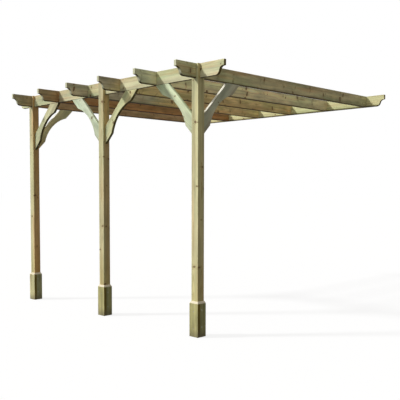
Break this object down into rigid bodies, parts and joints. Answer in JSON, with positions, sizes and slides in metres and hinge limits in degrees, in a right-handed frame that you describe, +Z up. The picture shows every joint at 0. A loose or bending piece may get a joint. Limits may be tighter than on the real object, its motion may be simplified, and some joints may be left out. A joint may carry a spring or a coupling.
{
  "type": "lean-to wooden pergola",
  "caption": "Open lean-to garden pergola of treated softwood: a row of footed posts with arched knee braces carries a front beam, and shaped rafters run back to a wall beam.",
  "frame": {"origin": "middle of the wall beam's back face, halfway up its depth", "axes": "+X runs along the wall, to the right as seen from the garden; +Y points into the wall; +Z is up, and the ground is at Z = -2.824"},
  "size_m": [4.01, 3.8, 2.9],
  "materials": {
    "post_timber": "planed, green-treated softwood with a satin surface and small knots",
    "foot_timber": "planed, green-treated softwood, a little paler than the posts",
    "beam_timber": "planed, green-treated softwood, cream to yellow-green",
    "rafter_timber": "planed, treated softwood with reddish-brown and grey-green boards and dark knots",
    "brace_timber": "planed softwood with a stronger blue-green treatment tint",
    "screw_metal": "dull, greenish coated screw heads"
  },
  "bodies": {
    "root": {"post_left": "post_timber", "post_middle": "post_timber", "post_right": "post_timber", "foot_left": "foot_timber", "foot_middle": "foot_timber", "foot_right": "foot_timber", "front_beam": "beam_timber", "wall_beam": "beam_timber", "rafter_1": "rafter_timber", "rafter_2": "rafter_timber", "rafter_3": "rafter_timber", "rafter_4": "rafter_timber", "rafter_5": "rafter_timber", "rafter_6": "rafter_timber", "brace_left": "brace_timber", "brace_middle_left": "brace_timber", "brace_middle_right": "brace_timber", "brace_right": "brace_timber", "brace_rear_left": "brace_timber", "brace_rear_right": "brace_timber"}
  },
  "joints": []
}
